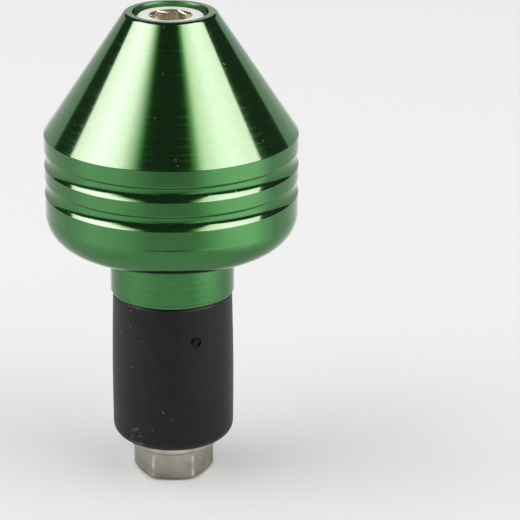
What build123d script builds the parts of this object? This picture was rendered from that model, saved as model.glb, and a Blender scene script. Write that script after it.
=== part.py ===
from build123d import *
import os
from math import radians, sqrt, tan

# Bar end weight for a motorbike handlebar, in millimetres, +Z up.
# It stands on the end face of its nut, with the origin in the middle of that face.
# A long cap screw runs down through the turned weight and the rubber sleeve into the nut.
# Tightening it squeezes the sleeve lengthways, and the sleeve swells against the bore of the bar.

# Turned weight, outside
body_d = 35.0
rim_d = 12.6
cone_height = 16.85
top_band_height = 2.4
rib_height = 2.05
bottom_band_height = 7.35
groove_count = 2
groove_width = 2.0
groove_depth = 0.6
groove_flank_height = 0.6
groove_lip_bevel = 0.25
underside_radius = 4.5
neck_d = 17.4
neck_height = 7.4
rim_bevel = 0.3

# Cap screw
thread_d = 6.0
head_d = 10.0
head_height = 6.0
head_chamfer = 0.55
head_recess = 0.6
socket_flats = 5.0
socket_depth = 3.2
socket_turn = 8.0
socket_mouth_clearance = 0.1
socket_mouth_angle = 30.0
drill_point_angle = 31.0
screw_end_recess = 1.1
screw_end_chamfer = 0.6

# Holes through the weight
head_clearance = 0.15
screw_clearance = 0.2

# Rubber sleeve
sleeve_d = 17.25
sleeve_length = 21.75
sleeve_clearance = 0.1
sleeve_top_bevel = 0.2
sleeve_bottom_bevel = 0.9
sleeve_bottom_bevel_height = 1.3

# Flange nut
nut_flats = 10.0
nut_height = 5.9
nut_turn = -1.2
nut_corner_radius = 0.25
nut_face_d = 9.5
nut_chamfer_angle = 30.0
flange_d = 12.8
flange_edge_height = 1.3
flange_bevel = 0.35
flange_slope = 30.0
thread_clearance = 0.05
thread_mouth_chamfer = 0.4

# Heights above the ground plane, worked up from the nut
sleeve_bottom = nut_height
neck_bottom = sleeve_bottom + sleeve_length
underside = neck_bottom + neck_height
first_groove = underside + bottom_band_height
groove_pitch = groove_width + rib_height
bands_height = bottom_band_height + groove_count * groove_pitch - rib_height + top_band_height
cone_base = underside + bands_height
rim_top = cone_base + cone_height
head_top = rim_top - head_recess
head_seat = head_top - head_height
screw_bottom = screw_end_recess

# Radii
body_r = body_d / 2
rim_r = rim_d / 2
neck_r = neck_d / 2
thread_r = thread_d / 2
head_r = head_d / 2
counterbore_r = head_r + head_clearance
screw_hole_r = thread_r + screw_clearance
sleeve_r = sleeve_d / 2
sleeve_bore_r = thread_r + sleeve_clearance
nut_bore_r = thread_r + thread_clearance


def turned(outline):
    """Solid made by turning a closed outline, drawn as radius and height, about the Z axis."""
    return revolve(Plane.XZ * outline, Axis.Z)


def disc_of_space(radius, bottom, top):
    """Plain cylinder between two heights, for boring holes."""
    return Pos(0, 0, bottom) * Cylinder(radius, top - bottom, align=(Align.CENTER, Align.CENTER, Align.MIN))


def hexagon(flats, turn):
    """Hexagon across its flats, with corners on the X axis before it is turned."""
    return Rot(0, 0, turn) * RegularPolygon(flats / 2, 6, major_radius=False, rotation=0)


def groove_section(lower_lip):
    """Section of one groove: a slope up from the lower lip, a flat root and a square side with a bevelled lip."""
    root_r = body_r - groove_depth
    outside_r = body_r + groove_depth
    upper_lip = lower_lip + groove_width
    return make_face(Polyline(
        (body_r, lower_lip),
        (root_r, lower_lip + groove_flank_height),
        (root_r, upper_lip),
        (body_r - groove_lip_bevel, upper_lip),
        (body_r, upper_lip + groove_lip_bevel),
        (outside_r, upper_lip + groove_lip_bevel),
        (outside_r, lower_lip),
        close=True,
    ))


def make_end_weight():
    """Rim, cone, grooved bands, rounded underside and neck, turned from one bar."""
    outline = make_face(Polyline(
        (0, neck_bottom),
        (neck_r, neck_bottom),
        (neck_r, underside),
        (body_r, underside),
        (body_r, cone_base),
        (rim_r, rim_top),
        (0, rim_top),
        close=True,
    ))
    corners = outline.vertices()
    outline = fillet(corners.sort_by_distance((body_r, underside))[0], underside_radius)
    outline = chamfer(outline.vertices().sort_by_distance((rim_r, rim_top))[0], rim_bevel)
    for number in range(groove_count):
        outline -= groove_section(first_groove + number * groove_pitch)
    weight = turned(outline)
    weight -= disc_of_space(counterbore_r, head_seat, rim_top)
    weight -= disc_of_space(screw_hole_r, neck_bottom, head_seat)
    return weight


def make_cap_screw():
    """Socket head cap screw; its thread is left plain, and its end is bevelled."""
    blank = make_face(Polyline(
        (0, screw_bottom),
        (thread_r - screw_end_chamfer, screw_bottom),
        (thread_r, screw_bottom + screw_end_chamfer),
        (thread_r, head_seat),
        (head_r, head_seat),
        (head_r, head_top - head_chamfer),
        (head_r - head_chamfer, head_top),
        (0, head_top),
        close=True,
    ))
    screw = turned(blank)
    socket_floor = head_top - socket_depth
    screw -= Pos(0, 0, socket_floor) * extrude(hexagon(socket_flats, socket_turn), socket_depth)
    drill_r = socket_flats / 2
    drill_point = socket_floor - drill_r * tan(radians(drill_point_angle))
    screw -= turned(make_face(Polyline((0, drill_point), (drill_r, socket_floor), (0, socket_floor), close=True)))
    mouth_r = socket_flats / sqrt(3) + socket_mouth_clearance
    mouth_depth = mouth_r * tan(radians(socket_mouth_angle))
    screw -= turned(make_face(Polyline((0, head_top - mouth_depth), (mouth_r, head_top), (0, head_top), close=True)))
    return screw


def make_rubber_sleeve():
    """Tube with a small bevel at the top and a large one below, above the nut."""
    top = neck_bottom
    bottom = sleeve_bottom
    outline = make_face(Polyline(
        (sleeve_bore_r, bottom),
        (sleeve_r - sleeve_bottom_bevel, bottom),
        (sleeve_r, bottom + sleeve_bottom_bevel_height),
        (sleeve_r, top - sleeve_top_bevel),
        (sleeve_r - sleeve_top_bevel, top),
        (sleeve_bore_r, top),
        close=True,
    ))
    return turned(outline)


def make_flange_nut():
    """Hexagon nut with a round flange, its flange up against the sleeve."""
    flats_r = nut_flats / 2
    corner_r = nut_flats / sqrt(3)
    flange_r = flange_d / 2
    edge_bottom = nut_height - flange_edge_height
    face_r = nut_face_d / 2
    chamfer_top = (corner_r - face_r) * tan(radians(nut_chamfer_angle))
    slope_bottom = edge_bottom - (flange_r - flats_r) * tan(radians(flange_slope))

    hexagon_prism = extrude(hexagon(nut_flats, nut_turn), nut_height)
    hexagon_prism = fillet(hexagon_prism.edges().filter_by(Axis.Z), nut_corner_radius)
    end_bevel = turned(make_face(Polyline(
        (0, 0),
        (face_r, 0),
        (corner_r, chamfer_top),
        (corner_r, nut_height),
        (0, nut_height),
        close=True,
    )))
    flange_outline = make_face(Polyline(
        (0, slope_bottom),
        (flats_r, slope_bottom),
        (flange_r, edge_bottom),
        (flange_r, nut_height),
        (0, nut_height),
        close=True,
    ))
    for edge_height in (edge_bottom, nut_height):
        edge = flange_outline.vertices().sort_by_distance((flange_r, edge_height))[0]
        flange_outline = chamfer(edge, flange_bevel)
    nut = hexagon_prism & end_bevel
    nut += turned(flange_outline)
    nut -= disc_of_space(nut_bore_r, 0, nut_height)
    mouth_r = nut_bore_r + thread_mouth_chamfer
    mouth_depth = thread_mouth_chamfer
    nut -= turned(make_face(Polyline((0, 0), (mouth_r, 0), (nut_bore_r, mouth_depth), (0, mouth_depth), close=True)))
    return nut


pieces = {
    "end_weight": make_end_weight(),
    "cap_screw": make_cap_screw(),
    "rubber_sleeve": make_rubber_sleeve(),
    "flange_nut": make_flange_nut(),
}
os.makedirs("parts", exist_ok=True)
for name, solid in pieces.items():
    export_step(solid, f"parts/{name}.step")
print("screw length", round(head_seat - screw_bottom, 2), "overall height", round(rim_top, 2))
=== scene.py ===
from math import atan2, ceil, cos, pi, radians, sin, sqrt, tan

import bpy
from mathutils import Matrix, Vector


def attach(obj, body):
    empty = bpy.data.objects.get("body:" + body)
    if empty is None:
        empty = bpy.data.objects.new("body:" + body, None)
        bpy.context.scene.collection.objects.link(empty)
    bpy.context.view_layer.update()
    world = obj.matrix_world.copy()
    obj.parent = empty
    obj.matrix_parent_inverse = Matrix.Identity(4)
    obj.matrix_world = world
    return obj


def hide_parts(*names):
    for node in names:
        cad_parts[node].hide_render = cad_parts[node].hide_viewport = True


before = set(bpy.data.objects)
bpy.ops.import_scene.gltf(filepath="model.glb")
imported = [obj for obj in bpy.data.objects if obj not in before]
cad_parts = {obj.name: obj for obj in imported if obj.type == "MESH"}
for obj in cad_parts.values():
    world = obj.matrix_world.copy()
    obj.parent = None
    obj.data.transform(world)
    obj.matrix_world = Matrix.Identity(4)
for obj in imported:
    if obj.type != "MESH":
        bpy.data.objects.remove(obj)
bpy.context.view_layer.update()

MM = 0.001

# The camera, fitted to the outlines in the photograph, in metres and radians
CAMERA_PLACE = (0.0, -0.30402, 0.14873)
CAMERA_YAW = -0.0404
CAMERA_DOWN = 0.3671
CAMERA_ROLL = 0.0069
CAMERA_LENS = 160.84
CAMERA_SENSOR = 36.0
CAMERA_NEAREST = 0.01

# Sizes of the pieces are in millimetres and their turns in degrees.
# EASED rounds an edge that is only just taken off, and a cutting shape reaches past its piece by OVERSHOOT.
EASED = 0.1
OVERSHOOT = 1.0
TURNING_STEPS = 256
ARC_STEP = 7.5
SHARP_EDGE = 30.0

# Flange nut
NUT_HEIGHT = 5.9
NUT_FLATS = 10.0
NUT_TURN = -1.2
NUT_CORNER_ROUNDING = 0.3
NUT_FACE_R = 4.62
NUT_FACE_ROUNDING = 0.15
NUT_SLOPE = 30.0
NUT_BORE_R = 3.05
NUT_BORE_MOUTH = 0.45
FLANGE_R = 6.4
FLANGE_EDGE = 1.3
FLANGE_LOWER_ROUNDING = 0.5
FLANGE_UPPER_ROUNDING = 0.45

# Rubber sleeve, with the round mark that its mould left, and a scuff
SLEEVE_LENGTH = 21.75
SLEEVE_TOP_R = 8.38
SLEEVE_MIDDLE_R = 8.63
SLEEVE_BOTTOM_R = 8.56
SLEEVE_BARREL_R = 300.0
SLEEVE_TOP_ROUNDING = 0.5
SLEEVE_BOTTOM_ROUNDING = 1.8
SLEEVE_OVERHANG = 0.18
SLEEVE_SEAT_GAP = 0.05
SLEEVE_SKIRT_GAP = 0.2
SLEEVE_BORE_R = 3.1
GATE_MARK_TURN = 21.8
GATE_MARK_HEIGHT = 16.7
SCUFF_PLACE = (-5.2, -6.8, 7.8)
SCUFF_R = 1.5

# Turned weight
BODY_R = 17.5
RIM_R = 6.3
RIM_ROUNDING = 0.6
NECK_R = 8.7
NECK_HEIGHT = 7.4
NECK_ROUNDING = 0.4
UNDERSIDE_ROUNDING = 4.5
TOOL_LINE_HEIGHT = 4.85
TOOL_LINE_WIDTH = 0.14
TOOL_LINE_DEPTH = 0.015
LOWEST_BAND = 7.35
BANDS_HEIGHT = 15.8
CONE_HEIGHT = 16.85
CONE_BASE_ROUNDING = 0.15
SCREW_HOLE_R = 3.2
COUNTERBORE_R = 5.15
COUNTERBORE_DEPTH = 6.6

# Grooves of the weight, each with a hollow flank below and a square side above
GROOVE_COUNT = 2
GROOVE_PITCH = 4.05
GROOVE_WIDTH = 1.9
GROOVE_DEPTH = 0.5
GROOVE_FLANK = 0.63
GROOVE_FLANK_ROUNDING = 1.9
GROOVE_ROOT_ROUNDING = 0.24
GROOVE_LOWER_LIP = 0.04
GROOVE_UPPER_LIP = 0.35

# Cap screw
THREAD_R = 3.0
SCREW_END = 1.1
SCREW_END_ROUNDING = 0.5
HEAD_R = 5.0
HEAD_RECESS = 0.5
HEAD_BEVEL = 0.65
SOCKET_FLATS = 5.0
SOCKET_DEPTH = 3.2
SOCKET_TURN = 8.0
SOCKET_MOUTH_R = 3.0
SOCKET_MOUTH_ANGLE = 31.0
SOCKET_WEAR = 0.07
DRILL_R = 2.45
DRILL_POINT = 1.5

# Heights above the floor, worked up from the nut
FLANGE_BOTTOM = NUT_HEIGHT - FLANGE_EDGE
NECK_BOTTOM = NUT_HEIGHT + SLEEVE_LENGTH
UNDERSIDE = NECK_BOTTOM + NECK_HEIGHT
TOOL_LINE = UNDERSIDE + TOOL_LINE_HEIGHT
FIRST_GROOVE = UNDERSIDE + LOWEST_BAND
CONE_BASE = UNDERSIDE + BANDS_HEIGHT
RIM_TOP = CONE_BASE + CONE_HEIGHT
HEAD_SEAT = RIM_TOP - COUNTERBORE_DEPTH
HEAD_TOP = RIM_TOP - HEAD_RECESS

# Finishes: linear colours, and the depth of the fine relief in metres
GREEN_SKIN = (0.017, 0.148, 0.019)
GREEN_MARKED = (0.12, 0.26, 0.12, 1)
GREEN_EDGE_TINT = (0.3, 0.5, 0.3, 1)
SCREW_FACE = (0.75, 0.75, 0.69, 1)
# Colours of the painted warm reflection inside the screw's socket
SOCKET_REFLECTION_DARK = (0.5, 0.46, 0.37, 1)
SOCKET_REFLECTION_BRIGHT = (0.88, 0.83, 0.72, 1)
# The nut's stained colour also carries its painted shade, and its clean colour its painted lit side.
NUT_STAINED_AND_SHADED = (0.2, 0.185, 0.145, 1)
NUT_CLEAN_AND_LIT = (0.5, 0.485, 0.42, 1)
# Colour of the painted highlights on the nut's corners and rim
NUT_HIGHLIGHT = (0.72, 0.7, 0.63, 1)
RUBBER_BLACK = (0.006, 0.006, 0.0062, 1)
DUST_GREY = (0.3, 0.3, 0.3, 1)
PAPER = (0.84, 0.84, 0.84, 1)
WHITE = (1, 1, 1, 1)
TOOL_RIDGE = 1.2e-6
RUBBER_GRAIN = 3e-5

# Studio, in metres and degrees. Each stretch of floor runs from where it starts to where it is full.
# A softbox fades out over its fade at the inner side and its top fade above, and slants about the pivot.
FLOOR_SIDE = 1.6
FLOOR_CENTRE = (0, 0.3, 0)
FLOOR_DARK_FRONT = (-0.09, -0.26)
FLOOR_BRIGHT_LEFT = (-0.04, -0.11)
FLOOR_BRIGHT_RIGHT = (0.05, 0.1)
FLOOR_BRIGHT_FRONT = (0.02, -0.04)
FLOOR_GLOW_LEFT = 0.5
FLOOR_GLOW_RIGHT = 1.15
DARK_ROOM = 0.1
DARK_ROOM_STARTS = 2.2
DARK_ROOM_FULL = 3.2
HORIZON_TILT = 15.7
BACKDROP_SEEN = 0.83
BACKDROP_REFLECTED = 0.85
BACKDROP_LIGHT = 0.68
SOFTBOX_AIM = (0, 0, 0.045)
SOFTBOX_SIDE = 0.93
SOFTBOX_FADE = 0.1
SOFTBOX_TOP_FADE = 0.27
SOFTBOX_PIVOT = 0.17
SOFTBOX_GLOW = 15.0
SECOND_PANEL_AWAY = 1.01


# Tools for modelling

def nothing_selected():
    """Leaves edit mode and deselects every object."""
    if bpy.context.mode != "OBJECT":
        bpy.ops.object.mode_set(mode="OBJECT")
    bpy.ops.object.select_all(action="DESELECT")


def select_only(piece):
    """Selects the one piece and makes it active."""
    nothing_selected()
    piece.select_set(True)
    bpy.context.view_layer.objects.active = piece


def place_in_mesh(piece):
    """Puts the piece's object at the origin, unturned and unscaled."""
    select_only(piece)
    bpy.ops.object.transform_apply(location=True, rotation=True, scale=True)


def rounded_outline(corners):
    """Outline through corners of (radius, height, rounding), with an arc of that rounding at each."""
    points = []
    for number, (r, z, rounding) in enumerate(corners):
        if not rounding:
            points.append((r, z))
            continue
        here = Vector((r, z))
        to_last = (Vector(corners[number - 1][:2]) - here).normalized()
        to_next = (Vector(corners[(number + 1) % len(corners)][:2]) - here).normalized()
        half_turn = (pi - to_last.angle(to_next)) / 2
        centre = here + (to_last + to_next).normalized() * rounding / cos(half_turn)
        start = here + to_last * rounding * tan(half_turn) - centre
        end = here + to_next * rounding * tan(half_turn) - centre
        steps = max(2, ceil(2 * half_turn / radians(ARC_STEP)))
        first = atan2(start.y, start.x)
        sweep = (atan2(end.y, end.x) - first + pi) % (2 * pi) - pi
        for step in range(steps + 1):
            angle = first + sweep * step / steps
            points.append((centre.x + rounding * cos(angle), centre.y + rounding * sin(angle)))
    return points


def turned(name, corners, steps=TURNING_STEPS):
    """Closed outline of (radius, height, rounding) corners, spun about the Z axis."""
    outline = rounded_outline(corners)
    nothing_selected()
    start_r, start_z = outline[0]
    # A tiny plane, merged into one point, starts the outline.
    bpy.ops.mesh.primitive_plane_add(size=MM, location=(start_r * MM, 0, start_z * MM))
    piece = bpy.context.object
    piece.name = piece.data.name = name
    bpy.ops.object.mode_set(mode="EDIT")
    bpy.ops.mesh.select_all(action="SELECT")
    bpy.ops.mesh.merge(type="CENTER")
    at_r, at_z = start_r, start_z
    for r, z in outline[1:] + outline[:1]:
        move = ((r - at_r) * MM, 0, (z - at_z) * MM)
        bpy.ops.mesh.extrude_vertices_move(TRANSFORM_OT_translate={"value": move})
        at_r, at_z = r, z
    bpy.ops.mesh.select_all(action="SELECT")
    bpy.ops.mesh.remove_doubles(threshold=MM * 1e-4)
    bpy.ops.mesh.spin(steps=steps, angle=2 * pi, center=(0, 0, 0), axis=(0, 0, 1))
    bpy.ops.mesh.select_all(action="SELECT")
    bpy.ops.mesh.remove_doubles(threshold=MM * 1e-3)
    bpy.ops.mesh.normals_make_consistent(inside=False)
    bpy.ops.object.mode_set(mode="OBJECT")
    place_in_mesh(piece)
    return piece


def prism(name, flats, turn, bottom, top, rounding=0.0):
    """Upright hexagonal prism, with corners on the X axis before it is turned."""
    nothing_selected()
    from_y_to_x = 30
    bpy.ops.mesh.primitive_circle_add(
        vertices=6, radius=flats / sqrt(3) * MM, fill_type="NGON",
        location=(0, 0, bottom * MM), rotation=(0, 0, radians(from_y_to_x + turn)),
    )
    piece = bpy.context.object
    piece.name = piece.data.name = name
    bpy.ops.object.mode_set(mode="EDIT")
    bpy.ops.mesh.select_all(action="SELECT")
    if rounding:
        bpy.ops.mesh.bevel(offset=rounding * MM, segments=5, affect="VERTICES")
    bpy.ops.mesh.extrude_region_move(TRANSFORM_OT_translate={"value": (0, 0, (top - bottom) * MM)})
    bpy.ops.mesh.select_all(action="SELECT")
    bpy.ops.mesh.normals_make_consistent(inside=False)
    bpy.ops.object.mode_set(mode="OBJECT")
    place_in_mesh(piece)
    return piece


def combine(piece, tool, operation="DIFFERENCE"):
    """Cuts the tool out of the piece, joins it on or keeps the shared part, and removes the tool."""
    select_only(piece)
    bpy.ops.object.modifier_add(type="BOOLEAN")
    modifier = piece.modifiers[-1]
    modifier.operation = operation
    modifier.solver = "EXACT"
    modifier.object = tool
    bpy.ops.object.modifier_apply(modifier=modifier.name)
    bpy.data.objects.remove(tool, do_unlink=True)


def round_edges(piece, low, high, width):
    """Rounds the edges whose ends lie between a low and a high limit of (radius, height)."""
    select_only(piece)
    bpy.ops.object.mode_set(mode="EDIT")
    bpy.ops.mesh.select_mode(type="VERT")
    bpy.ops.mesh.select_all(action="DESELECT")
    bpy.ops.object.mode_set(mode="OBJECT")
    for vertex in piece.data.vertices:
        r = vertex.co.xy.length / MM
        z = vertex.co.z / MM
        vertex.select = low[0] < r < high[0] and low[1] < z < high[1]
    bpy.ops.object.mode_set(mode="EDIT")
    bpy.ops.mesh.bevel(offset=width * MM, segments=3, affect="EDGES")
    bpy.ops.object.mode_set(mode="OBJECT")


def smooth(piece):
    """Shades the piece smooth between its sharp edges, with its large faces kept straight."""
    select_only(piece)
    bpy.ops.object.shade_smooth_by_angle(angle=radians(SHARP_EDGE))
    bpy.ops.object.modifier_add(type="WEIGHTED_NORMAL")
    modifier = piece.modifiers[-1]
    modifier.keep_sharp = True
    bpy.ops.object.modifier_apply(modifier=modifier.name)


def finished(piece, finish, replaced):
    """Smooths a new piece, and gives it its material and its place in the frame."""
    smooth(piece)
    piece.data.materials.clear()
    piece.data.materials.append(finish.material)
    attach(piece, "root")
    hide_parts(replaced)


# Materials

class Shading:
    """A node tree, with short ways to add nodes to it. A value is a number, or another node's output."""

    def __init__(self, tree):
        self.nodes = tree.nodes
        self.links = tree.links

    def node(self, kind, inputs=None, **settings):
        """Adds a node with its settings, and with its inputs by name or number."""
        made = self.nodes.new(kind)
        for setting, value in settings.items():
            setattr(made, setting, value)
        for socket, value in (inputs or {}).items():
            if isinstance(value, bpy.types.NodeSocket):
                self.links.new(value, made.inputs[socket])
            else:
                made.inputs[socket].default_value = value
        return made

    def math(self, operation, first, second=0.0, third=0.0):
        """One step of arithmetic."""
        inputs = {0: first, 1: second, 2: third}
        return self.node("ShaderNodeMath", inputs, operation=operation).outputs[0]

    def between(self, factor, low, high):
        """Number that goes from low to high as the factor goes from 0 to 1, and on beyond it."""
        return self.math("MULTIPLY_ADD", factor, high - low, low)

    def spread(self, value, start, end, low=0.0, high=1.0):
        """Number that goes from low to high, and no further, as the value goes from start to end."""
        inputs = {"Value": value, "From Min": start, "From Max": end, "To Min": low, "To Max": high}
        return self.node("ShaderNodeMapRange", inputs).outputs[0]

    def choice(self, factor, first, second):
        """The first number where the factor is 0 and the second where it is 1."""
        return self.node("ShaderNodeMix", {0: factor, 2: first, 3: second}).outputs[0]

    def mix(self, factor, first, second):
        """The first colour where the factor is 0 and the second where it is 1."""
        inputs = {0: factor, 6: first, 7: second}
        return self.node("ShaderNodeMix", inputs, data_type="RGBA").outputs[2]

    def noise(self, place, scale, detail, roughness=0.5):
        """Cloudy pattern between 0 and 1."""
        inputs = {"Vector": place, "Scale": scale, "Detail": detail, "Roughness": roughness}
        return self.node("ShaderNodeTexNoise", inputs).outputs[0]

    def specks(self, place, scale, rarity, size):
        """Specks of chance sizes: 1 inside a speck and 0 elsewhere, with none at all in many cells."""
        cells = self.node("ShaderNodeTexVoronoi", {"Vector": place, "Scale": scale}).outputs
        chance = self.node("ShaderNodeSeparateXYZ", {"Vector": cells["Color"]}).outputs["X"]
        reach = self.math("MULTIPLY", self.math("SUBTRACT", chance, rarity), size)
        return self.math("LESS_THAN", cells["Distance"], reach)

    def length(self, vector):
        """Length of a vector."""
        return self.node("ShaderNodeVectorMath", {0: vector}, operation="LENGTH").outputs["Value"]


class Finish(Shading):
    """The shading of a new material, with one principled shader and the place on the object."""

    def __init__(self, name, values=None):
        self.material = bpy.data.materials.new(name)
        self.material.use_nodes = True
        super().__init__(self.material.node_tree)
        self.shader = self.nodes["Principled BSDF"]
        for socket, value in (values or {}).items():
            self.shader.inputs[socket].default_value = value
        self.place = self.node("ShaderNodeTexCoord").outputs["Object"]

    def axes(self):
        """X, Y and Z of the place, in metres."""
        return self.node("ShaderNodeSeparateXYZ", {"Vector": self.place}).outputs

    def across(self):
        """The place seen along the Z axis, in millimetres."""
        inputs = {0: self.place, 1: (1 / MM, 1 / MM, 0)}
        return self.node("ShaderNodeVectorMath", inputs, operation="MULTIPLY").outputs[0]

    def to_shader(self, socket, value):
        """Leads an output into the principled shader."""
        self.links.new(value, self.shader.inputs[socket])

    def relief(self, height, strength, distance):
        """Fine relief that only bends the light."""
        inputs = {"Height": height, "Strength": strength, "Distance": distance}
        self.to_shader("Normal", self.node("ShaderNodeBump", inputs).outputs[0])

    def glow(self, strength, colour=WHITE):
        """Shader that gives light."""
        return self.node("ShaderNodeEmission", {"Color": colour, "Strength": strength}).outputs[0]

    def surface(self, shader):
        """Makes another shader the material's surface."""
        self.links.new(shader, self.nodes["Material Output"].inputs["Surface"])


def make_anodised():
    """Bright turned aluminium under a clear green skin, with fine tool lines, dust and scratches."""
    finish = Finish("green_anodised", {
        "Metallic": 1.0, "Specular Tint": GREEN_EDGE_TINT, "Coat Roughness": 0.08,
        "Anisotropic": 0.4, "Anisotropic Rotation": 0.25,
    })
    around = finish.node("ShaderNodeTangent", direction_type="RADIAL", axis="Z")
    finish.to_shader("Tangent", around.outputs[0])
    height = finish.axes()["Z"]

    # Turning lines, strongest on the neck, and blotches in the skin
    line_inputs = {"W": height, "Scale": 3200.0, "Detail": 3.0}
    lines = finish.node("ShaderNodeTexNoise", line_inputs, noise_dimensions="1D").outputs[0]
    on_neck = finish.math("LESS_THAN", height, (UNDERSIDE + 0.05) * MM)
    contrast = finish.between(on_neck, low=0.14, high=0.94)
    shade = finish.math("MULTIPLY_ADD", finish.math("SUBTRACT", lines, 0.5), contrast, 1.0)
    blotches = finish.noise(finish.place, scale=900.0, detail=3.0)
    shade = finish.math("MULTIPLY", shade, finish.between(blotches, low=0.88, high=1.12))
    skin_inputs = {0: GREEN_SKIN, "Scale": shade}
    green = finish.node("ShaderNodeVectorMath", skin_inputs, operation="SCALE").outputs[0]

    # Dust, and scratches in three directions
    marks = finish.specks(finish.place, scale=600.0, rarity=0.4, size=0.1)
    scratch_length, scratch_width = 8.0 * MM, 0.6 * MM
    for slant in (0.5, -0.8, 1.3):
        along = finish.node("ShaderNodeMapping", {
            "Vector": finish.place,
            "Rotation": (0.1, slant, slant * 0.2),
            "Scale": (scratch_length, scratch_width, scratch_width),
        }, vector_type="TEXTURE").outputs[0]
        scratches = finish.specks(along, scale=1.0, rarity=0.7, size=0.3)
        marks = finish.math("MAXIMUM", marks, scratches)

    # The highest ridges are rougher, and so are the marks, which have less of the clear skin
    polished, rough_ridges, rough_marks = 0.14, 0.6, 0.45
    ridges = finish.math("MAXIMUM", finish.math("SUBTRACT", lines, 0.55), 0.0)
    roughness = finish.math("MULTIPLY_ADD", ridges, rough_ridges, polished)
    finish.to_shader("Base Color", finish.mix(marks, green, GREEN_MARKED))
    finish.to_shader("Coat Weight", finish.between(marks, low=1.0, high=0.3))
    finish.to_shader("Roughness", finish.math("MULTIPLY_ADD", marks, rough_marks, roughness))
    finish.relief(lines, 1.0, TOOL_RIDGE)
    return finish


def make_screw_steel():
    """Satin plated steel, brighter inside the socket, where a warm, streaky reflection is painted."""
    finish = Finish("screw_steel")
    across = finish.across()
    blur = 0.05
    inside = finish.spread(finish.length(across), SOCKET_MOUTH_R + blur, SOCKET_MOUTH_R - blur)
    # The socket's warm streaks are a painted reflection.
    reflection_streaks = finish.noise(across, scale=4.0, detail=4.0)
    warm_reflection = finish.mix(reflection_streaks, SOCKET_REFLECTION_DARK, SOCKET_REFLECTION_BRIGHT)
    finish.to_shader("Base Color", finish.mix(inside, SCREW_FACE, warm_reflection))
    finish.to_shader("Roughness", finish.between(inside, low=0.48, high=0.22))
    finish.to_shader("Metallic", finish.between(inside, low=0.3, high=1.0))
    return finish


def make_nut_steel():
    """Plated steel, stained in parts, with painted shade towards the floor and under the flange, and painted
    highlights at its corners and rim.
    """
    finish = Finish("nut_steel", {"Metallic": 1.0, "Roughness": 0.28})
    height = finish.axes()["Z"]

    # A cloudy stain, with painted shade that darkens it towards the floor and along the ledge under the
    # flange
    clouds = finish.noise(finish.place, scale=500.0, detail=4.0)
    shade_towards_floor = finish.spread(height, 0.0, (FLANGE_BOTTOM - 0.1) * MM, low=-0.34, high=0.24)
    ledge = (FLANGE_BOTTOM - 0.15) * MM
    from_ledge = finish.math("ABSOLUTE", finish.math("SUBTRACT", height, ledge))
    ledge_shade = finish.spread(from_ledge, 0.4 * MM, 0.1 * MM, high=0.35)
    lit_and_unstained = finish.math("SUBTRACT", finish.math("ADD", clouds, shade_towards_floor), ledge_shade)
    plated = finish.mix(lit_and_unstained, NUT_STAINED_AND_SHADED, NUT_CLEAN_AND_LIT)

    # Painted highlights, in patches, at the hexagon's corners and along the flange's rim
    highlight_start, highlight_full = 5.62, 5.68
    corners = finish.spread(finish.length(finish.across()), highlight_start, highlight_full, high=0.8)
    below_flange = finish.math("LESS_THAN", height, (FLANGE_BOTTOM - 0.8) * MM)
    corners = finish.math("MULTIPLY", corners, below_flange)
    rim_highlight = finish.spread(height, (NUT_HEIGHT - 1.0) * MM, (NUT_HEIGHT - 0.3) * MM, high=1.1)
    painted_highlights = finish.math("MAXIMUM", corners, rim_highlight)
    patchy_highlight = finish.math("MULTIPLY", painted_highlights, finish.math("MULTIPLY_ADD", clouds, 4.0, -1.3))
    finish.to_shader("Base Color", finish.mix(patchy_highlight, plated, NUT_HIGHLIGHT))
    return finish


def make_rubber():
    """Matte black rubber with a fine grain, a little dust and one scuff."""
    finish = Finish("black_rubber", {"Roughness": 0.46, "Specular IOR Level": 0.2})
    grain = finish.noise(finish.place, scale=500.0, detail=6.0, roughness=0.7)
    dust = finish.spread(grain, 0.4, 0.8, high=0.02)
    specks = finish.specks(finish.place, scale=700.0, rarity=0.5, size=0.2)
    dust = finish.math("MAXIMUM", dust, finish.math("MULTIPLY", specks, 0.28))

    # The scuff is patchy, and fades out from its middle
    scuff_inputs = {0: finish.place, 1: [value * MM for value in SCUFF_PLACE]}
    from_scuff = finish.node("ShaderNodeVectorMath", scuff_inputs, operation="DISTANCE")
    near = finish.spread(from_scuff.outputs["Value"], SCUFF_R * MM, 0.0)
    patches = finish.math("GREATER_THAN", grain, 0.54)
    scuff = finish.math("MULTIPLY", finish.math("POWER", near, 0.5), patches)
    pale = finish.math("MAXIMUM", dust, finish.math("MULTIPLY", scuff, 0.36))
    finish.to_shader("Base Color", finish.mix(pale, RUBBER_BLACK, DUST_GREY))
    finish.relief(grain, 0.25, RUBBER_GRAIN)
    return finish


# Pieces

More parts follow.
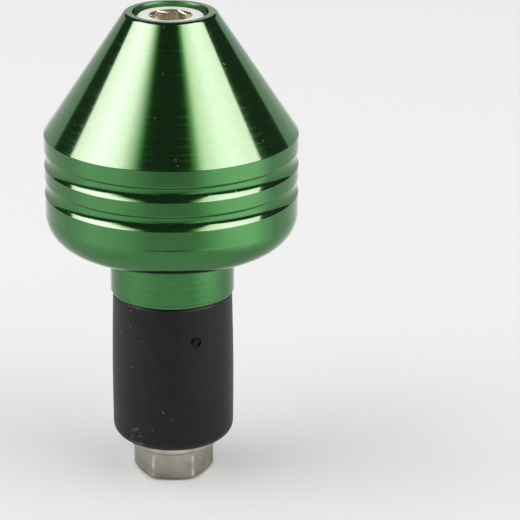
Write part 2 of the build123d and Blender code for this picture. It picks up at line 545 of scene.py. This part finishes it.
def make_weight():
    """Neck, rounded underside, grooved bands and cone, with the holes for the screw."""
    root_r = BODY_R - GROOVE_DEPTH
    corners = [
        (SCREW_HOLE_R, NECK_BOTTOM, 0),
        (NECK_R, NECK_BOTTOM, NECK_ROUNDING),
        (NECK_R, UNDERSIDE, EASED),
        (BODY_R, UNDERSIDE, UNDERSIDE_ROUNDING),
        (BODY_R, TOOL_LINE - TOOL_LINE_WIDTH / 2, 0),
        (BODY_R - TOOL_LINE_DEPTH, TOOL_LINE, 0),
        (BODY_R, TOOL_LINE + TOOL_LINE_WIDTH / 2, 0),
    ]
    for number in range(GROOVE_COUNT):
        lower_lip = FIRST_GROOVE + number * GROOVE_PITCH
        upper_lip = lower_lip + GROOVE_WIDTH
        corners += [
            (BODY_R, lower_lip, GROOVE_LOWER_LIP),
            (root_r, lower_lip + GROOVE_FLANK, GROOVE_FLANK_ROUNDING),
            (root_r, upper_lip, GROOVE_ROOT_ROUNDING),
            (BODY_R, upper_lip, GROOVE_UPPER_LIP),
        ]
    corners += [
        (BODY_R, CONE_BASE, CONE_BASE_ROUNDING),
        (RIM_R, RIM_TOP, RIM_ROUNDING),
        (COUNTERBORE_R, RIM_TOP, EASED),
        (COUNTERBORE_R, HEAD_SEAT, 0),
        (SCREW_HOLE_R, HEAD_SEAT, 0),
    ]
    weight = turned("turned_weight", corners)
    finished(weight, make_anodised(), "end_weight")


def make_screw():
    """Socket head cap screw; the socket's mouth is countersunk and its edges are worn round."""
    screw = turned("socket_screw", [
        (0, SCREW_END, 0),
        (THREAD_R, SCREW_END, SCREW_END_ROUNDING),
        (THREAD_R, HEAD_SEAT, EASED),
        (HEAD_R, HEAD_SEAT, EASED),
        (HEAD_R, HEAD_TOP - HEAD_BEVEL, EASED),
        (HEAD_R - HEAD_BEVEL, HEAD_TOP, EASED),
        (0, HEAD_TOP, 0),
    ], steps=128)
    floor = HEAD_TOP - SOCKET_DEPTH
    combine(screw, prism("socket", SOCKET_FLATS, SOCKET_TURN, floor, HEAD_TOP + OVERSHOOT))
    overlap = 0.01
    combine(screw, turned("drill_point", [
        (0, floor - DRILL_POINT, 0),
        (DRILL_R, floor + overlap, 0),
        (0, floor + overlap, 0),
    ], steps=64))
    mouth_depth = SOCKET_MOUTH_R * tan(radians(SOCKET_MOUTH_ANGLE))
    beyond = 0.1
    combine(screw, turned("mouth", [
        (0, HEAD_TOP - mouth_depth, 0),
        (SOCKET_MOUTH_R * (1 + beyond), HEAD_TOP + mouth_depth * beyond, 0),
        (0, HEAD_TOP + mouth_depth * beyond, 0),
    ], steps=96))
    margin, worn_depth = 0.02, 0.6
    inner_limit = (SOCKET_FLATS / 2 - margin, HEAD_TOP - worn_depth)
    outer_limit = (SOCKET_MOUTH_R - margin, HEAD_TOP - margin)
    round_edges(screw, inner_limit, outer_limit, SOCKET_WEAR)
    finished(screw, make_screw_steel(), "cap_screw")


def make_sleeve():
    """Rubber tube, a little barrelled, rounded more below than above, with the moulder's gate mark."""
    middle = (NUT_HEIGHT + NECK_BOTTOM) / 2
    skirt = NUT_HEIGHT - SLEEVE_OVERHANG
    sleeve = turned("swelling_sleeve", [
        (SLEEVE_BORE_R, NUT_HEIGHT, 0),
        (FLANGE_R + SLEEVE_SEAT_GAP, NUT_HEIGHT, EASED),
        (FLANGE_R + SLEEVE_SKIRT_GAP, skirt, EASED),
        (SLEEVE_BOTTOM_R, skirt, SLEEVE_BOTTOM_ROUNDING),
        (SLEEVE_MIDDLE_R, middle, SLEEVE_BARREL_R),
        (SLEEVE_TOP_R, NECK_BOTTOM, SLEEVE_TOP_ROUNDING),
        (SLEEVE_BORE_R, NECK_BOTTOM, 0),
    ])
    # The mark is a round dimple with a ring-shaped hollow about it, cut from outside.
    mark = turned("gate_mark", [
        (0, -0.25, 0),
        (0.2, -0.25, 0.08),
        (0.32, 0.0, 0.05),
        (0.5, -0.5, 0.08),
        (0.8, -0.5, 0.1),
        (0.9, 0.5, 0),
        (0, 0.5, 0),
    ], steps=48)
    turn = radians(GATE_MARK_TURN)
    outward = Vector((sin(turn), -cos(turn), 0))
    height = Vector((0, 0, (NUT_HEIGHT + GATE_MARK_HEIGHT) * MM))
    mark.rotation_euler = outward.to_track_quat("Z", "Y").to_euler()
    mark.location = outward * SLEEVE_MIDDLE_R * MM + height
    place_in_mesh(mark)
    combine(sleeve, mark)
    finished(sleeve, make_rubber(), "rubber_sleeve")


def make_nut():
    """Hexagon with rounded corners and a bevelled end, under a round flange with a rolled edge."""
    corner_r = NUT_FLATS / sqrt(3)
    flats_r = NUT_FLATS / 2
    bevel_top = (corner_r - NUT_FACE_R) * tan(radians(NUT_SLOPE))
    slope_bottom = FLANGE_BOTTOM - (FLANGE_R - flats_r) * tan(radians(NUT_SLOPE))
    # The hexagon ends inside the flange, and the flange's slope starts inside the hexagon.
    sunk = 0.2
    inside_flange = NUT_HEIGHT - sunk
    nut = prism("flanged_nut", NUT_FLATS, NUT_TURN, 0, inside_flange, NUT_CORNER_ROUNDING)
    combine(nut, turned("end_bevel", [
        (0, 0, 0),
        (NUT_FACE_R, 0, NUT_FACE_ROUNDING),
        (corner_r, bevel_top, EASED),
        (corner_r, inside_flange + sunk / 2, 0),
        (0, inside_flange + sunk / 2, 0),
    ], steps=192), "INTERSECT")
    combine(nut, turned("flange", [
        (0, slope_bottom, 0),
        (flats_r - sunk, slope_bottom, EASED),
        (FLANGE_R, FLANGE_BOTTOM, FLANGE_LOWER_ROUNDING),
        (FLANGE_R, NUT_HEIGHT, FLANGE_UPPER_ROUNDING),
        (0, NUT_HEIGHT, 0),
    ], steps=192), "UNION")
    combine(nut, turned("thread_bore", [
        (0, -OVERSHOOT, 0),
        (NUT_BORE_R + NUT_BORE_MOUTH + OVERSHOOT, -OVERSHOOT, 0),
        (NUT_BORE_R, NUT_BORE_MOUTH, 0),
        (NUT_BORE_R, NUT_HEIGHT + OVERSHOOT, 0),
        (0, NUT_HEIGHT + OVERSHOOT, 0),
    ], steps=96))
    finished(nut, make_nut_steel(), "flange_nut")


# Floor, world, lamps and camera

def make_floor():
    """Pale paper; in reflections only, its front fades into the dark room and its sides glow brighter, which
    is painted light.
    """
    nothing_selected()
    bpy.ops.mesh.primitive_plane_add(size=FLOOR_SIDE, location=FLOOR_CENTRE)
    floor = bpy.context.object
    floor.name = floor.data.name = "floor"
    place_in_mesh(floor)
    paper = Finish("floor_paper", {"Base Color": PAPER, "Roughness": 1.0, "Specular IOR Level": 0.0})
    x, y = paper.axes()[:2]
    reflected = paper.node("ShaderNodeLightPath").outputs["Is Glossy Ray"]
    darker = paper.math("MULTIPLY", paper.spread(y, *FLOOR_DARK_FRONT), reflected)
    seen = paper.node("ShaderNodeMixShader", {
        0: darker, 1: paper.shader.outputs[0], 2: paper.glow(DARK_ROOM),
    }).outputs[0]
    # A painted glow on the floor's sides, seen only in reflections
    left = paper.spread(x, *FLOOR_BRIGHT_LEFT, high=FLOOR_GLOW_LEFT)
    right = paper.spread(x, *FLOOR_BRIGHT_RIGHT, high=FLOOR_GLOW_RIGHT)
    front = paper.math("MULTIPLY", paper.spread(y, *FLOOR_BRIGHT_FRONT), reflected)
    brighter = paper.math("MULTIPLY", paper.math("ADD", left, right), front)
    paper.surface(paper.node("ShaderNodeAddShader", {0: seen, 1: paper.glow(brighter)}).outputs[0])
    floor.data.materials.append(paper.material)


def make_world():
    """Pale to the camera; in reflections a dark room above and the pale backdrop below."""
    world = bpy.data.worlds.new("studio")
    bpy.context.scene.world = world
    world.use_nodes = True
    sky = Shading(world.node_tree)
    direction = sky.node("ShaderNodeTexCoord").outputs["Generated"]
    tilt = radians(HORIZON_TILT)
    up_inputs = {0: direction, 1: (0, -sin(tilt), cos(tilt))}
    up = sky.node("ShaderNodeVectorMath", up_inputs, operation="DOT_PRODUCT").outputs["Value"]
    start, full = sin(radians(DARK_ROOM_STARTS)), sin(radians(DARK_ROOM_FULL))
    strength = sky.spread(up, start, full, BACKDROP_REFLECTED, DARK_ROOM)
    rays = sky.node("ShaderNodeLightPath").outputs
    strength = sky.choice(rays["Is Diffuse Ray"], strength, BACKDROP_LIGHT)
    strength = sky.choice(rays["Is Camera Ray"], strength, BACKDROP_SEEN)
    background = sky.nodes["Background"]
    background.inputs["Color"].default_value = WHITE
    sky.links.new(strength, background.inputs["Strength"])


def make_lamp(name, centre, away, power):
    """Square lamp for matte surfaces, which polished ones do not show."""
    lamp = bpy.data.lights.new(name, "AREA")
    lamp.shape = "SQUARE"
    lamp.size = SOFTBOX_SIDE
    lamp.energy = power * SOFTBOX_SIDE ** 2
    lamp.cycles.use_multiple_importance_sampling = False
    holder = bpy.data.objects.new(name, lamp)
    bpy.context.scene.collection.objects.link(holder)
    holder.location = centre + away
    holder.rotation_euler = away.to_track_quat("Z", "Y").to_euler()
    holder.visible_glossy = False


def make_panel(name, centre, away, inner_side, slant, top, brightness, colour):
    """Glowing panel that polished surfaces show in a lamp's place.

    Its brightness is a list of (place, value) from its inner side outwards, and it fades out at the top.
    """
    width = SOFTBOX_SIDE + SOFTBOX_FADE
    nothing_selected()
    bpy.ops.mesh.primitive_plane_add(size=SOFTBOX_SIDE)
    panel = bpy.context.object
    panel.name = panel.data.name = name
    bpy.ops.object.mode_set(mode="EDIT")
    bpy.ops.transform.resize(value=(width / SOFTBOX_SIDE, 1, 1))
    bpy.ops.transform.translate(value=(inner_side * SOFTBOX_FADE / 2, 0, 0))
    bpy.ops.object.mode_set(mode="OBJECT")
    panel.location = centre + away
    panel.rotation_euler = away.to_track_quat("Z", "Y").to_euler()

    finish = Finish(name + "_glow")
    x, y = finish.axes()[:2]
    inwards = finish.math("MULTIPLY", x, inner_side)
    inwards = finish.math("MULTIPLY_ADD", finish.math("SUBTRACT", y, SOFTBOX_PIVOT), slant, inwards)
    inner_edge = SOFTBOX_SIDE / 2 + SOFTBOX_FADE
    depth = finish.spread(inwards, inner_edge, inner_edge - width)
    ramp = finish.node("ShaderNodeValToRGB", {"Fac": depth})
    steps = ramp.color_ramp.elements
    steps[0].color = (0, 0, 0, 1)
    steps[1].position, steps[1].color = brightness[-1][0], colour(brightness[-1][1])
    for position, value in brightness[:-1]:
        steps.new(position).color = colour(value)
    strength = finish.spread(y, top - SOFTBOX_TOP_FADE, top, SOFTBOX_GLOW, 0.0)
    light = finish.glow(strength, ramp.outputs[0])
    clear = finish.node("ShaderNodeBsdfTransparent").outputs[0]
    finish.surface(finish.node("ShaderNodeAddShader", {0: light, 1: clear}).outputs[0])
    panel.data.materials.append(finish.material)
    panel.visible_camera = panel.visible_diffuse = panel.visible_shadow = False
    panel.visible_transmission = panel.visible_volume_scatter = False
    return panel


def plain_glow(value):
    """Colour of a white light, for the steel and the rubber."""
    return (value, value, value, 1)


def creamy_glow(value):
    """Colour that turns the green skin's brightest reflections creamy, as an exposed photograph does."""
    green = 0.39 * value ** 0.65
    blue = value * (0.71 + 0.19 * value ** 2)
    return (value, green, blue, 1)


def lights_only(panel, piece, state):
    """Lets a panel light the one piece only, or all but that piece."""
    receivers = bpy.data.collections.new(panel.name + "_receivers")
    receivers.objects.link(piece)
    receivers.collection_objects[0].light_linking.link_state = state
    panel.light_linking.receiver_collection = receivers


def make_softbox(name, azimuth, elevation, power, inner_side, slant, top, brightness):
    """A lamp, and two panels in its place: one for the green weight and one for all else.

    Its azimuth goes from the front to the right, and its inner side is 1 or -1 along the panels' own X axis.
    """
    turn, lift = radians(azimuth), radians(elevation)
    away = Vector((sin(turn) * cos(lift), -cos(turn) * cos(lift), sin(lift)))
    centre = Vector(SOFTBOX_AIM)
    make_lamp(name, centre, away, power)
    weight = bpy.data.objects["turned_weight"]
    for use, colour, state in (("weight", creamy_glow, "INCLUDE"), ("plain", plain_glow, "EXCLUDE")):
        panel = make_panel(name + "_" + use, centre, away, inner_side, slant, top, brightness, colour)
        lights_only(panel, weight, state)
        away = away * SECOND_PANEL_AWAY


def make_camera():
    """The camera, turned and placed as it was fitted."""
    camera = bpy.data.cameras.new("camera")
    camera.lens = CAMERA_LENS
    camera.sensor_width = CAMERA_SENSOR
    camera.clip_start = CAMERA_NEAREST
    holder = bpy.data.objects.new("camera", camera)
    bpy.context.scene.collection.objects.link(holder)
    turn = Matrix.Rotation(CAMERA_YAW, 4, "Z") @ Matrix.Rotation(pi / 2 - CAMERA_DOWN, 4, "X")
    turn = turn @ Matrix.Rotation(CAMERA_ROLL, 4, "Z")
    holder.matrix_world = Matrix.Translation(CAMERA_PLACE) @ turn
    bpy.context.scene.camera = holder


make_weight()
make_screw()
make_sleeve()
make_nut()
make_floor()
make_world()
make_softbox(
    "left_softbox", azimuth=-78, elevation=43, power=5.0, inner_side=1, slant=0.0, top=0.42,
    brightness=[
        (0.0, 0.02), (0.06, 0.13), (0.25, 0.78), (0.32, 0.9), (0.54, 1.03), (0.75, 0.85), (1.0, 0.66),
    ],
)
make_softbox(
    "right_softbox", azimuth=63, elevation=43, power=3.8, inner_side=-1, slant=0.5, top=0.74,
    brightness=[
        (0.05, 0.02), (0.12, 0.1), (0.2, 0.42), (0.27, 0.58),
        (0.5, 0.82), (0.62, 0.88), (0.8, 0.86), (1.0, 0.75),
    ],
)
make_camera()
bpy.context.scene.view_settings.view_transform = "Standard"
